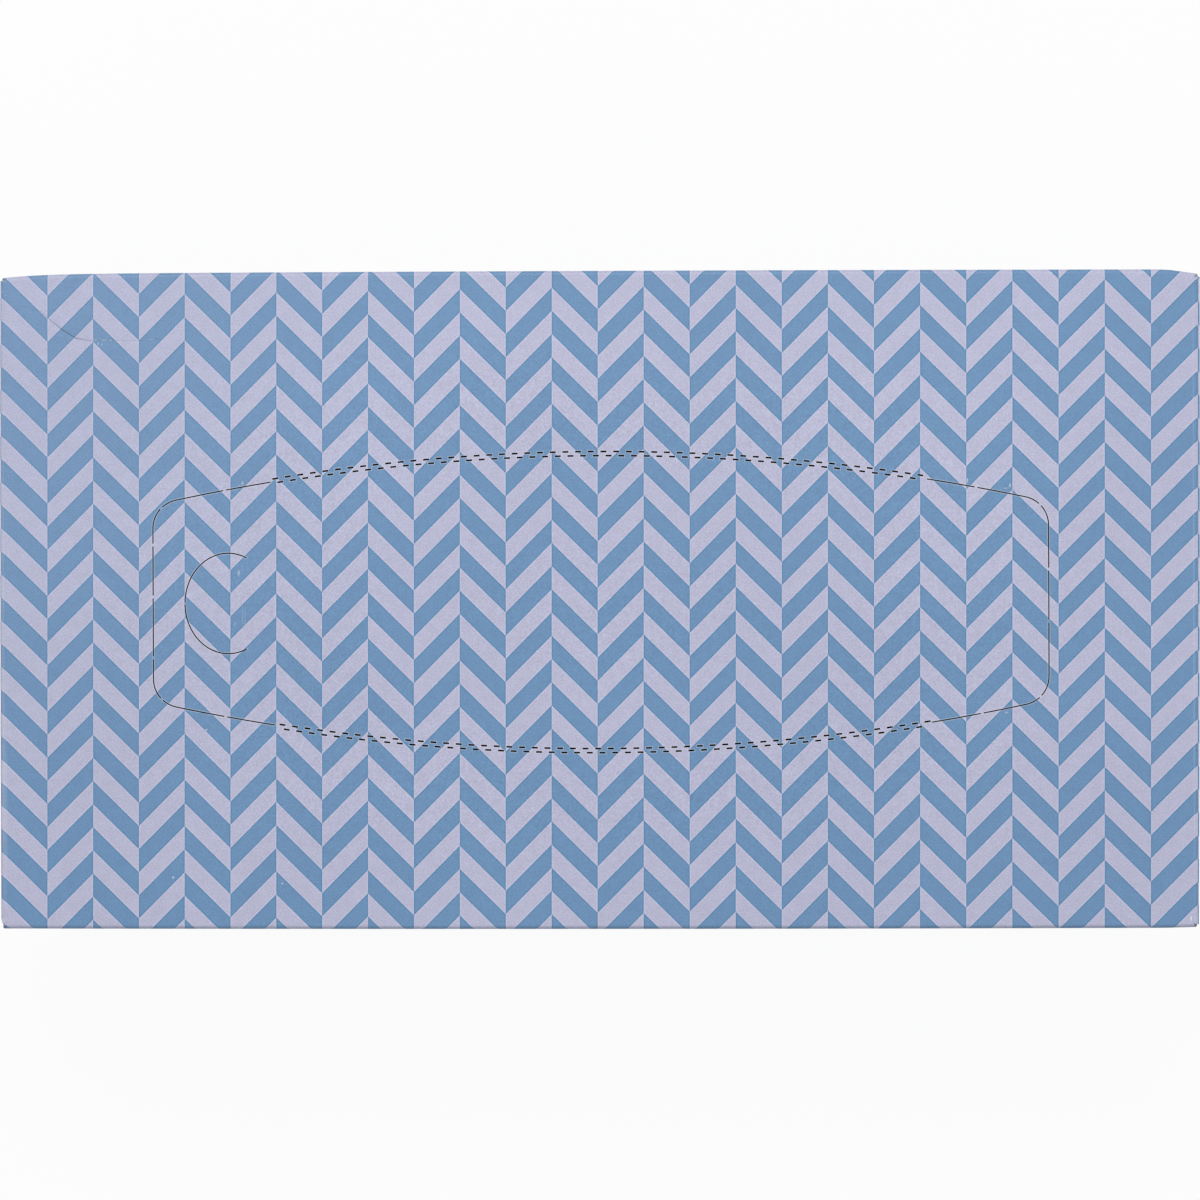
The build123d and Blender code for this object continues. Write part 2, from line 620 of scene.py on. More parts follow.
@dataclass(frozen=True)
class PressedLines:
    """Creases pressed into the top panel: a bent one near the back left corner, and the thumb tab's root."""

    corner: tuple[tuple[float, float], ...] = (  # turns of the bent crease
        (-105.0, 54.3),
        (-101.3, 53.1),
        (-100.3, 52.0),
        (-97.5, 49.6),
        (-95.0, 48.0),
        (-92.0, 47.5),
        (-83.7, 47.5),
        (-79.5, 47.7),
    )
    corner_force: tuple[float, ...] = (0.25, 0.35, 0.5, 1.0, 1.0, 0.35, 0.3, 0.2)  # at each turn
    depth: float = 0.06
    half_width: float = 0.085
    thumb_at: float = -64.5  # along X
    thumb_reach: tuple[float, float] = (-9.2, -1.0)  # along Y
    thumb_depth: float = 0.03
    thumb_points: int = 60
    fine_step: float = 0.1  # between points that distances are measured to
    guide_step: float = 0.4  # between points that the mesh follows
    guide_widths: tuple[float, ...] = (1.2, 2.4, 5.0)  # of the lines beside a crease, in half widths

    def corner_path(self) -> Array:
        """The bent crease: points along straight runs between its turns, (n, 2)."""
        turns = np.array(self.corner)
        return stretch(turns, 0, lengths_along(turns)[-1], self.fine_step)

    def thumb_path(self) -> Array:
        """The thumb tab's root: points along a straight line across the open half moon, (n, 2)."""
        y = np.linspace(*self.thumb_reach, self.thumb_points)
        return np.stack([np.full_like(y, self.thumb_at), y], 1)

    def guide_points(self) -> Array:
        """Points on and beside both creases, for the mesh to follow.

        Returns:
            Places, (n, 2).
        """
        lines = []
        for path in (self.corner_path(), self.thumb_path()):
            part = stretch(path, 0, lengths_along(path)[-1], self.guide_step)
            lines.append(part)
            lines += [ribbon(part, width * self.half_width) for width in self.guide_widths]
        return np.concatenate(lines)

    def press(self, points: Array) -> tuple[Array, Array]:
        """How hard each place is pressed: a bell curve of its distance from each crease.

        Args:
            points: Places on the top panel, (n, 2).

        Returns:
            How hard it is pressed, 0 to 1, and how deep it lies.
        """
        force = np.interp(points[:, 0], [place[0] for place in self.corner], self.corner_force)
        corner = force * np.exp(-((distance_to(self.corner_path(), points) / self.half_width) ** 2))
        thumb = np.exp(-((distance_to(self.thumb_path(), points) / self.half_width) ** 2))
        return corner, self.depth * corner + self.thumb_depth * thumb


@dataclass
class Carton:
    """The folded and glued box, as one closed skin.

    The box without its warps is a block with a round fold at every edge. Its ends are terraces: dust
    flaps at level 0, the inner flap at 1 and the outer flap at 2. A flap leaves its fold one card out,
    and the outer flap leans out by one more to pass over the inner one.
    """

    length: float
    width: float
    height: float
    card: float = 0.35  # thickness of the board
    fold_radius: float = 0.75  # of the folds along the top, the bottom and the ends
    corner_radius: float = 0.35  # of the upright folds
    left_draw: float = 0.8  # how far the back comes forward at its left end
    left_draw_run: float = 7.0  # and over which length
    right_draw: float = 0.85
    right_draw_run: float = 6.0
    front_draw: float = 0.15  # how far the front goes back at its right end
    waist: float = 0.15  # how far each long side is drawn in at the ends, in one wide curve
    left_skew: float = 0.04  # how far the end leans over, from its middle to its back
    right_skew: float = 0.2
    end_bow: float = 0.1
    seam_reveal: float = 0.6  # the back panel's cut edge stops this far above the bottom
    outer_flap_clear: float = 15.0  # from the flap's free edge to the bottom
    inner_flap_clear: float = 15.0  # from the flap's free edge to the top
    flap_side_gap: float = 0.45  # from a flap's root to the corner of the box
    slack_corner_gap: float = 2.4  # the same at the front of the left outer flap
    flap_taper: float = 2.5  # how much further in the free edge is, each side
    flap_corner_radius: float = 4.0
    corner_shade: float = 0.7  # painted shade over the round corners, for the shadowed gap where the folds meet
    crown: float = 0.35  # how far the top rises in its middle
    side_swell: float = 0.12
    end_swell: float = 0.15
    ripple: float = 0.05  # of the top
    ripple_lengths: tuple[float, float] = (23.0, 15.0)
    ripple_starts: tuple[float, float] = (1.0, 2.0)
    waver: float = 0.2  # share of a side's swell that comes and goes
    waver_lengths: tuple[float, float] = (19.0, 9.0)
    columns: int = 96  # cells along the box
    rows: int = 52  # across it
    storeys: int = 24  # up it
    fold_steps: int = 6
    flap_corner_points: int = 9
    flap_corner_room: float = 0.5  # kept free of points above a flap's round corner
    tear: TearPanel = field(default_factory=TearPanel)
    lines: PressedLines = field(default_factory=PressedLines)

    def __post_init__(self) -> None:
        """Works out the stations that neighbouring patches share.

        xs, ys and zs are places along the axes, turn is angles round a fold, and qs is lengths down an end.
        """
        self.x_edge = self.length / 2 - self.card - self.fold_radius
        self.y_edge = self.width / 2 - self.fold_radius
        self.overrun = self.fold_radius - self.corner_radius
        self.fold_length = math.pi / 2 * self.fold_radius
        self.wall = self.height - 2 * self.fold_radius
        shrink = self.y_edge / (self.y_edge + self.overrun)
        self.flap_root = (self.width / 2 - self.flap_side_gap) * shrink
        self.slack_root = (self.width / 2 - self.slack_corner_gap) * shrink
        self.xs = np.linspace(-self.x_edge, self.x_edge, self.columns + 1)
        even = np.linspace(-self.y_edge, self.y_edge, self.rows + 1)
        self.ys = np.union1d(even, [-self.flap_root, -self.slack_root, self.flap_root])
        self.zs = np.linspace(self.height - self.fold_radius, self.fold_radius, self.storeys + 1)
        self.turn = np.linspace(0, math.pi / 2, self.fold_steps + 1)
        over = self.turn * self.fold_radius
        face = self.fold_length + self.zs[0] - self.zs
        self.qs = np.concatenate([over[:-1], face, face[-1] + over[1:]])

    def upright_dome(self, z: Array) -> Array:
        """Hump over the height of a wall, from fold to fold."""
        return dome((2 * z - self.height) / self.wall)

    def top_panel(self) -> Patch:
        """The printed top, with every cut a pocket as deep as the card.

        Height is a low dome, a ripple of two sines and the pressed creases. A lip with a painted highlight
        runs round each cut, and the pockets are painted near black as the shade inside the box.

        Returns:
            The patch.
        """
        xs, ys = self.xs, self.ys
        inner = np.stack(np.meshgrid(xs[1:-1], ys[1:-1]), -1).reshape(-1, 2)
        cuts = self.tear.outlines()
        lips = [grown(cut, self.tear.lip) for cut in cuts]
        inner = np.concatenate([inner, self.lines.guide_points()])
        levels = [TopLevel.CUT_FLOOR] * len(cuts) + [TopLevel.SURFACE] * len(lips)
        terrace = Terrace.cut(rim(xs, ys), inner, cuts + lips, levels, TopLevel.SURFACE)
        x, y = terrace.points.T
        hump = dome(x / self.x_edge) * dome(y / self.y_edge)
        wave = ripples(x, y, self.ripple_lengths, self.ripple_starts)
        pressed, depth = self.lines.press(terrace.points)
        z = self.height + (self.crown + self.ripple * wave) * hump - depth
        z -= self.card * (terrace.level == TopLevel.CUT_FLOOR)
        # pocket floors and walls get the near-black painted shade of the box's dark inside
        finish = np.where(terrace.area == TopLevel.SURFACE, Face.PRINT, Face.CUT)
        # painted shade along the creases, and -1 on each cut's edge for the painted highlight round it
        press = pressed - terrace.on_step
        return Patch(
            np.stack([x, y, z], 1), terrace.points, np.zeros(len(x)), press, terrace.triangles, finish
        )

    def long_strip(self, profile: Array, blank: Array, turned: Array, finish: Face) -> Patch:
        """A profile across the box carried along X.

        Lines in a fold run on past the panel's edge, up to the smaller round of the upright folds.

        Args:
            profile: Places (y, z) across the strip, (n, 2).
            blank: The same places on the blank, along its Y, (n,).
            turned: Angle that the card has turned from flat at each place, (n,).
            finish: What the strip shows.

        Returns:
            The patch.
        """
        along, across = np.meshgrid(self.xs, np.arange(len(profile)), indexing="ij")
        along = along * (1 + self.overrun * np.sin(turned[across]) / self.x_edge)
        places = np.stack([along, profile[across, 0], profile[across, 1]], -1)
        flat = np.stack([along, blank[across]], -1)
        return grid_patch(places, flat, np.sin(2 * turned[across]), finish)

    def side_panel(self, side: Side) -> Patch:
        """The front or back panel, swelling a little between its folds: a dome that comes and goes.

        Args:
            side: LOW for the front, HIGH for the back.

        Returns:
            The patch.
        """
        down = self.y_edge + self.fold_length + self.zs[0] - self.zs
        profile = np.stack([np.full_like(self.zs, side * self.width / 2), self.zs], 1)
        upright = np.full_like(self.zs, math.pi / 2)
        patch = self.long_strip(profile, side * down, upright, Face.PRINT)
        x, _, z = patch.places.T
        hump = dome(x / (self.x_edge + self.overrun)) * self.upright_dome(z)
        wave = 1 + self.waver * ripples(x, z, self.waver_lengths, (side, 0))
        patch.places[:, 1] += side * self.side_swell * hump * wave
        return patch

    def blank_fold(self, tilt: Array, level: Side) -> Array:
        """How far from the middle of the top a place in a long fold lies on the blank.

        Args:
            tilt: Angle that the card has turned from flat.
            level: LOW for a fold along the bottom, HIGH for one along the top.

        Returns:
            Distances along the blank's Y.
        """
        if level is Side.HIGH:
            return self.y_edge + self.fold_radius * tilt
        return self.y_edge + 2 * self.fold_length + self.wall - self.fold_radius * tilt

    def long_fold(self, side: Side, level: Side) -> Patch:
        """The fold between a side panel and the top or the bottom: a quarter circle.

        Args:
            side: LOW for the front, HIGH for the back.
            level: LOW for the bottom, HIGH for the top.

        Returns:
            The patch.
        """
        out = self.y_edge + self.fold_radius * np.sin(self.turn)
        up = self.wall / 2 + self.fold_radius * np.cos(self.turn)
        profile = np.stack([side * out, self.height / 2 + level * up], 1)
        return self.long_strip(profile, side * self.blank_fold(self.turn, level), self.turn, Face.PRINT)

    def seam(self) -> list[Patch]:
        """The glued seam at the bottom of the back: the back panel's cut edge, standing over a smaller fold.

        The step closes up to a plain quarter circle at the two ends.

        Returns:
            The printed lip, the raw edge and the bottom's fold.
        """
        r, half = self.fold_radius, self.width / 2
        inside = r - self.card
        lip = [(half, r), (half, self.seam_reveal), (half - self.card, self.seam_reveal)]
        small = np.linspace(0, math.pi / 2, self.fold_steps - 2)
        under = np.stack([half - r + inside * np.cos(small), inside - inside * np.sin(small)], 1)
        profile = np.concatenate([lip, under])
        quarter = np.linspace(0, math.pi / 2, len(profile))
        plain = np.stack([half - r + r * np.cos(quarter), r - r * np.sin(quarter)], 1)
        back_end = self.y_edge + self.fold_length + self.wall
        bottom_end = -(self.y_edge + 2 * self.fold_length + self.wall + 2 * self.y_edge)
        spans = [
            (slice(0, 2), back_end + r * quarter[:2], Face.PRINT),
            (slice(1, 3), np.full(2, back_end + r * quarter[1]), Face.RAW),
            (slice(2, None), bottom_end - r * (math.pi / 2 - quarter[2:]), Face.PLAIN),
        ]
        patches = []
        for span, blank, finish in spans:
            patch = self.long_strip(profile[span], blank, math.pi / 2 - quarter[span], finish)
            patch.fold[:] = 0
            at_end = np.repeat(np.isin(np.arange(len(self.xs)), [0, self.columns]), len(blank))
            patch.places[at_end, 1:] = np.tile(plain[span], (2, 1))
            patches.append(patch)
        return patches

    def bottom_panel(self) -> Patch:
        """The plain bottom, flat on what the box stands on.

        Returns:
            The patch.
        """
        profile = np.stack([self.ys, np.zeros_like(self.ys)], 1)
        blank = -(self.y_edge + 2 * self.fold_length + self.wall + self.ys + self.y_edge)
        return self.long_strip(profile, blank, np.zeros_like(self.ys), Face.PLAIN)

    def corner_fold(self, side: Side) -> Patch:
        """The upright fold from a side panel to its dust flap at the right end: a quarter circle.

        Args:
            side: LOW for the front, HIGH for the back.

        Returns:
            The patch.
        """
        r = self.corner_radius
        turn, z = np.meshgrid(self.turn, self.zs, indexing="ij")
        x = self.x_edge + self.overrun + r * np.sin(turn)
        y = self.y_edge + self.overrun + r * np.cos(turn)
        down = self.y_edge + self.fold_length + self.zs[0] - z
        blank = np.stack([self.x_edge + self.overrun + r * turn, side * down], -1)
        return grid_patch(np.stack([x, side * y, z], -1), blank, np.sin(2 * turn), Face.PRINT)

    def corner(self, side: Side, level: Side) -> Patch:
        """A round corner of the right end: at each height a quarter circle, its radius growing down the fold.

        Args:
            side: LOW for the front, HIGH for the back.
            level: LOW for the bottom, HIGH for the top.

        Returns:
            The patch.
        """
        tilt, turn = np.meshgrid(self.turn, self.turn, indexing="ij")
        reach, r = self.overrun * np.sin(tilt), self.corner_radius * np.sin(tilt)
        x = self.x_edge + reach + r * np.sin(turn)
        y = self.y_edge + reach + r * np.cos(turn)
        middle = self.height / 2 + level * self.wall / 2
        places = np.stack([x, side * y, middle + level * self.fold_radius * np.cos(tilt)], -1)
        blank = np.stack([x, side * self.blank_fold(tilt, level)], -1)
        patch = grid_patch(places, blank, np.ones_like(tilt), Face.PRINT)
        # painted shade over the whole round corner, for the shadowed gap where the folds meet
        patch.press[:] = self.corner_shade
        return patch

    def flap_outline(self, clear: float, front_root: float) -> Array:
        """Outline of an end flap that hangs from the field's top edge: tapered, with round corners.

        A root shorter than the end is cut back over the fold, by the square of the distance.

        Args:
            clear: Distance from its free edge to the far fold of the end.
            front_root: Distance from the middle of the end to the front end of its root.

        Returns:
            Outline on the end's field, (n, 2).
        """
        low = self.fold_length + self.height - self.fold_radius - clear
        r = self.flap_corner_radius
        angle = np.linspace(0, math.pi / 2, self.flap_corner_points)
        down = self.qs[self.qs < low - r - self.flap_corner_room]
        halves = []
        for root in (self.flap_root, front_root):
            kept = (self.flap_root - root) * (1 - np.clip(down / self.fold_length, 0, 1) ** 2)
            side = np.stack([root + kept - self.flap_taper * down / low, down], 1)
            beside = root - self.flap_taper * (1 - r / low)
            bend = np.stack([beside - r + r * np.cos(angle), low - r + r * np.sin(angle)], 1)
            halves.append(np.concatenate([side, bend]))
        back, front = halves
        return np.concatenate([back, front[::-1] * (-1, 1)])

    def end_place(self, q: Array, level: Array) -> tuple[Array, Array, Array]:
        """Where a place down the right end lies: over the top fold, down the face, round the bottom fold.

        A flap first runs straight on by one card, so that every level leaves the same edge.

        Args:
            q: Length down the field.
            level: Level of the place.

        Returns:
            X, Z, and the angle that the dust flap's level has turned from flat.
        """
        r, fold = self.fold_radius, self.fold_length
        upper = q < fold + self.wall / 2
        inward = np.where(upper, q, 2 * fold + self.wall - q)
        share = np.clip(inward / fold, 0, 1)
        reach = np.minimum(level, EndLayer.INNER_FLAP) * self.card
        run = share * (reach + fold)
        angle = np.clip(run - reach, 0, None) / r
        down = r - r * np.cos(angle) + np.clip(inward - fold, 0, None)
        lean = self.card * (level == EndLayer.OUTER_FLAP) * ease((q - fold) / self.inner_flap_clear)
        x = self.x_edge + np.minimum(run, reach) + r * np.sin(angle) + lean
        return x, np.where(upper, self.height - down, down), share * math.pi / 2

    def end_panel(self, front_root: float) -> Patch:
        """The right end: dust flaps, inner flap and outer flap as a terrace over its face and folds.

        Args:
            front_root: Distance from the middle of the end to the front end of the outer flap's root.

        Returns:
            The patch.
        """
        fold, wall, qs = self.fold_length, self.wall, self.qs
        inner = np.stack(np.meshgrid(self.ys[1:-1], qs[1:-1]), -1).reshape(-1, 2)
        outer_flap = self.flap_outline(self.outer_flap_clear, front_root)
        inner_flap = self.flap_outline(self.inner_flap_clear, self.flap_root) * (1, -1) + (0, qs[-1])
        flaps, levels = [outer_flap, inner_flap], [EndLayer.OUTER_FLAP, EndLayer.INNER_FLAP]
        terrace = Terrace.cut(rim(self.ys, qs), inner, flaps, levels, EndLayer.DUST_FLAPS)
        (p, q), level = terrace.points.T, terrace.level  # p runs across the end, q down it
        x, z, turned = self.end_place(q, level)
        y = p * (1 + self.overrun * np.sin(turned) / self.y_edge)
        x += self.end_swell * dome(p / self.y_edge) * self.upright_dome(z)
        down = self.y_edge + fold + self.zs[0] - z
        edge = self.y_edge + self.overrun
        dust = np.stack([self.x_edge + fold + edge - np.abs(y), np.sign(p) * down], 1)
        under = np.stack([self.x_edge + qs[-1] - q, -(2 * self.y_edge + 2 * fold + wall + p)], 1)
        over = np.stack([self.x_edge + q, y], 1)
        blank = np.choose(level[:, None], [dust, under, over])
        shown = np.array([Face.PRINT, Face.PLAIN, Face.PRINT, Face.RAW])  # by level, and last the walls
        return Patch(
            np.stack([x, y, z], 1),
            blank,
            np.sin(2 * turned),
            np.zeros(len(p)),
            terrace.triangles,
            shown[terrace.area],
        )

    def warp(self, patch: Patch) -> None:
        """Draws the long sides in at both ends, fading out towards the middle of the box.

        The left end of the back dies away as an exponential, and the right end is a straight bevel,
        fainter on the front. There the folds run off their line on the blank. All along, the box narrows
        by the square of the distance from its middle. Its ends lean and bow out by the eighth power.

        Args:
            patch: Part of the skin, changed in place.
        """
        x, y, _ = patch.places.T.copy()
        along, across = 2 * x / self.length, 2 * y / self.width
        left = self.left_draw * np.exp(-(x + self.length / 2) / self.left_draw_run)
        bevel = np.clip(1 - (self.length / 2 - x) / self.right_draw_run, 0, 1)
        drawn = self.front_draw * bevel * ease(-across) - (left + self.right_draw * bevel) * ease(across)
        skew = np.where(along < 0, self.left_skew, self.right_skew)
        moved = (skew * across + self.end_bow * np.sign(along) * (1 - across**2)) * along**8
        off_line = np.stack([moved, drawn], 1)
        patch.blank = patch.blank + off_line
        patch.places[:, :2] += off_line
        patch.places[:, 1] -= self.waist * along**2 * across

    def patches(self) -> list[Patch]:
        """All the patches of the skin.

        Returns:
            The patches, in place.
        """
        corners = [self.corner_fold(side) for side in Side]
        corners += [self.corner(side, level) for side in Side for level in Side]
        right = [self.end_panel(self.flap_root), *corners]
        left = [patch.other_end() for patch in (self.end_panel(self.slack_root), *corners)]
        around = [self.long_fold(side, Side.HIGH) for side in Side]
        around += [self.side_panel(side) for side in Side]
        lower = [self.long_fold(Side.LOW, Side.LOW), self.bottom_panel(), *self.seam()]
        whole = [self.top_panel(), *around, *lower, *right, *left]
        for patch in whole:
            self.warp(patch)
        return whole

    def build(self) -> bpy.types.Object:
        """Makes the carton's object.

        Returns:
            The object, in place of the CAD node.
        """
        carton = new_object("carton", skin_mesh("carton", self.patches()))
        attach(carton, BODY)
        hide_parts(NODE)
        return carton

    def dress(self, carton: bpy.types.Object, finishes: Mapping[Face, PrintedCard | PlainCard]) -> None:
        """Gives each kind of face its finish."""
        for kind in Face:
            carton.data.materials.append(finishes[kind].material())


def skin_mesh(name: str, patches: Sequence[Patch]) -> bpy.types.Mesh:
    """Joins patches into one closed mesh, in metres, with its blank map and its wear attributes.

    Args:
        name: Name of the mesh.
        patches: Patches whose edges meet.

    Returns:
        The mesh.
    """
    starts = np.cumsum([0, *(len(patch.places) for patch in patches[:-1])])
    triangles = np.concatenate([p.triangles + start for p, start in zip(patches, starts, strict=True)])
    places = np.concatenate([patch.places for patch in patches]) * MM
    mesh = bpy.data.meshes.new(name)
    mesh.from_pydata(places.tolist(), [], triangles.tolist())
    loops = triangles.ravel()
    blank = np.concatenate([patch.blank for patch in patches])
    flat = (blank[loops] + BLANK_MIDDLE) / BLANK_SPAN
    mesh.uv_layers.new(name=BLANK_MAP).uv.foreach_set("vector", flat.astype(np.float32).ravel())
    for attribute, values in (
        (FOLD_ATTRIBUTE, np.concatenate([patch.fold for patch in patches])),
        (PAINTED_LIGHT_ATTRIBUTE, np.concatenate([patch.press for patch in patches])),
    ):
        layer = mesh.attributes.new(attribute, "FLOAT", "CORNER")
        layer.data.foreach_set("value", values[loops].astype(np.float32))
    finish = np.concatenate([patch.finish for patch in patches])
    mesh.polygons.foreach_set("material_index", finish.astype(np.int32))
    weld(mesh)
    return mesh


def weld(mesh: bpy.types.Mesh) -> None:
    """Closes the seams between patches, turns every face outwards and keeps the cut edges sharp.

    Args:
        mesh: The mesh, changed in place.
    """
    whole = bmesh.new()
    whole.from_mesh(mesh)
    bmesh.ops.remove_doubles(whole, verts=whole.verts, dist=WELD_DISTANCE)
    bmesh.ops.recalc_face_normals(whole, faces=whole.faces)
    open_edges = sum(not edge.is_manifold for edge in whole.edges)
    whole.to_mesh(mesh)
    whole.free()
    mesh.shade_smooth()
    mesh.set_sharp_from_angle(angle=math.radians(SHARP_ANGLE))
    log.info("%s: %d triangles, %d open edges", mesh.name, len(mesh.polygons), open_edges)


def new_object(name: str, data: bpy.types.ID) -> bpy.types.Object:
    """Adds an object to the scene.

    Args:
        name: Name of the object.
        data: Its mesh, lamp or camera.

    Returns:
        The object.
    """
    made = bpy.data.objects.new(name, data)
    bpy.context.scene.collection.objects.link(made)
    return made


@dataclass(frozen=True)
class Grain:
    """A cloud-like pattern in a material.

    Attributes:
        scale: How many of its humps go into a metre.
        detail: How many finer layers it has.
        strength: How much of it is used.
    """

    scale: float
    detail: float
    strength: float = 1.0


class Value:
    """A number that varies over a surface. Arithmetic on it adds Math nodes to its graph."""

    def __init__(self, graph: Graph, socket: bpy.types.NodeSocket) -> None:
        """Wraps a socket of a graph."""
        self.graph = graph
        self.socket = socket

    def __add__(self, other: Value | float) -> Value:
        """Sum."""
        return self.graph.math("ADD", self, other)

    __radd__ = __add__

    def __sub__(self, other: Value | float) -> Value:
        """Difference."""
        return self.graph.math("SUBTRACT", self, other)

    def __rsub__(self, other: Value | float) -> Value:
        """Difference, from a number."""
        return self.graph.math("SUBTRACT", other, self)

    def __mul__(self, other: Value | float) -> Value:
        """Product."""
        return self.graph.math("MULTIPLY", self, other)

    __rmul__ = __mul__

    def __truediv__(self, other: Value | float) -> Value:
        """Quotient."""
        return self.graph.math("DIVIDE", self, other)

    def __rtruediv__(self, other: Value | float) -> Value:
        """Quotient, of a number."""
        return self.graph.math("DIVIDE", other, self)

    def __lt__(self, other: Value | float) -> Value:
        """1 where it is less, 0 elsewhere."""
        return self.graph.math("LESS_THAN", self, other)

    def __gt__(self, other: Value | float) -> Value:
        """1 where it is greater, 0 elsewhere."""
        return self.graph.math("GREATER_THAN", self, other)

    def __abs__(self) -> Value:
        """Size without its sign."""
        return self.graph.math("ABSOLUTE", self)

    def __mod__(self, other: float) -> Value:
        """Remainder, never negative."""
        return self.graph.math("FLOORED_MODULO", self, other)

    def floor(self) -> Value:
        """Whole part."""
        return self.graph.math("FLOOR", self)

    def fraction(self) -> Value:
        """Part after the point."""
        return self.graph.math("FRACT", self)

    def zigzag(self) -> Value:
        """Up from 0 to 1 and down again, over and over."""
        return self.graph.math("PINGPONG", self, 1.0)

    def lesser(self, other: Value) -> Value:
        """The smaller of two."""
        return self.graph.math("MINIMUM", self, other)

    def clamped(self) -> Value:
        """Kept from 0 to 1."""
        return self.graph.math("MINIMUM", self.graph.math("MAXIMUM", self, 0.0), 1.0)


class Graph:
    """The nodes of one material or of the world."""

    def __init__(self, tree: bpy.types.NodeTree) -> None:
        """Empties a node tree and takes it over."""
        self.tree = tree
        tree.nodes.clear()

    def node(
        self, kind: str, settings: Mapping[str, Any] | None = None, sockets: Mapping[Any, Any] | None = None
    ) -> bpy.types.Node:
        """Adds a node.

        Args:
            kind: The node's type.
            settings: Its own settings, set first.
            sockets: Values or links of its inputs, by name or number.

        Returns:
            The node.
        """
        made = self.tree.nodes.new(kind)
        for name, setting in (settings or {}).items():
            setattr(made, name, setting)
        for name, value in (sockets or {}).items():
            source = value.socket if isinstance(value, Value) else value
            if isinstance(source, bpy.types.NodeSocket):
                self.tree.links.new(source, made.inputs[name])
            else:
                made.inputs[name].default_value = source
        return made

    def math(self, operation: str, *operands: Value | float) -> Value:
        """Result of a Math node, with the operands as its inputs in order."""
        made = self.node("ShaderNodeMath", {"operation": operation}, dict(enumerate(operands)))
        return Value(self, made.outputs[0])

    def mix(self, share: Value | float, first: Any, second: Any) -> bpy.types.NodeSocket:
        """Mixes two colours.

        Args:
            share: How much of the second colour. Past 0 or 1 it goes beyond the two.
            first: The first colour, as a socket or four numbers.
            second: The second colour.

        Returns:
            The mixed colour.
        """
        settings = {"data_type": "RGBA", "clamp_factor": False}
        sockets = dict(zip(MIX_INPUTS, (share, first, second), strict=True))
        return self.node("ShaderNodeMix", settings, sockets).outputs[MIX_OUTPUT]

    def cloud(self, grain: Grain) -> Value:
        """Adds a cloud-like pattern at its full strength.

        Args:
            grain: The pattern.

        Returns:
            Its value, about 0.5.
        """
        at = self.node("ShaderNodeTexCoord").outputs["Object"]
        sockets = {"Vector": at, "Scale": grain.scale, "Detail": grain.detail}
        return Value(self, self.node("ShaderNodeTexNoise", None, sockets).outputs[0])

    def clouds(self, grains: Sequence[Grain]) -> Value:
        """Sum of cloud-like patterns, each by its strength, about 0."""
        parts = [(self.cloud(grain) - 0.5) * grain.strength for grain in grains]
        return sum(parts[1:], parts[0])

    def attribute(self, name: str) -> Value:
        """A number that the mesh holds under a name."""
        made = self.node("ShaderNodeAttribute", {"attribute_name": name})
        return Value(self, made.outputs["Fac"])

    def blank_map(self) -> bpy.types.NodeSocket:
        """Place on the flat blank, in the unit square."""
        return self.node("ShaderNodeUVMap", {"uv_map": BLANK_MAP}).outputs[0]

    def blank_place(self) -> tuple[Value, Value]:
        """Place on the flat blank.

        Returns:
            Millimetres right of and above the middle of the top panel.
        """
        parts = self.node("ShaderNodeSeparateXYZ", None, {0: self.blank_map()})
        u, v = Value(self, parts.outputs[0]), Value(self, parts.outputs[1])
        return u * BLANK_SPAN - BLANK_MIDDLE[0], v * BLANK_SPAN - BLANK_MIDDLE[1]

    def off_middle(self, middle: tuple[float, float], halves: tuple[float, float]) -> Value:
        """How far a place on the blank lies from the middle of an ellipse.

        Args:
            middle: The ellipse's middle.
            halves: Half its width and half its height.

        Returns:
            The square of the distance: 0 at the middle and 1 on the edge.
        """
        scale = [BLANK_SPAN / half for half in halves]
        start = [-(zero + at) / half for zero, at, half in zip(BLANK_MIDDLE, middle, halves, strict=True)]
        sockets = {0: self.blank_map(), 1: (*scale, 0), 2: (*start, 0)}
        away = self.node("ShaderNodeVectorMath", {"operation": "MULTIPLY_ADD"}, sockets).outputs[0]
        square = self.node("ShaderNodeVectorMath", {"operation": "DOT_PRODUCT"}, {0: away, 1: away})
        return Value(self, square.outputs["Value"])

    def tooth(self, grains: Sequence[Grain]) -> bpy.types.NodeSocket:
        """Normal of the board's fine tooth, whose height is a sum of patterns."""
        sockets = {"Strength": TOOTH_STRENGTH, "Distance": TOOTH_DEPTH * MM, "Height": self.clouds(grains)}
        return self.node("ShaderNodeBump", None, sockets).outputs[0]

    def surface(self, sockets: Mapping[str, Any]) -> None:
        """Ends the graph in a plain surface with these values or links of its inputs."""
        shader = self.node("ShaderNodeBsdfPrincipled", None, sockets)
        self.node("ShaderNodeOutputMaterial", None, {"Surface": shader.outputs[0]})


def new_graph(name: str) -> tuple[bpy.types.Material, Graph]:
    """Makes an empty material.

    Args:
        name: Name of the material.

    Returns:
        The material and its graph.
    """
    material = bpy.data.materials.new(name)
    material.use_nodes = True
    return material, Graph(material.node_tree)


def ink(red: int, green: int, blue: int) -> tuple[float, float, float, float]:
    """A colour as it looks on a screen, made linear: a straight toe, then the power 2.4.

    Args:
        red: 0 to 255.
        green: 0 to 255.
        blue: 0 to 255.

    Returns:
        Linear red, green, blue and alpha.
    """
    parts = np.array([red, green, blue]) / 255
    linear = np.where(parts <= 0.04045, parts / 12.92, ((parts + 0.055) / 1.055) ** 2.4)
    return (*linear.tolist(), 1.0)


@dataclass(frozen=True)
class ScuffAndHighlight:
    """A lightened ellipse on the print, in millimetres on the blank: most are rubbed scuffs, and three long
    ones are painted highlights by the end folds.

    Attributes:
        middle: Its middle, right of and above the middle of the top.
        halves: Half its width and half its height.
        strength: How much of the ink is off.
    """

    middle: tuple[float, float]
    halves: tuple[float, float]
    # strength: How far the print is lightened towards the bare board.
    strength: float


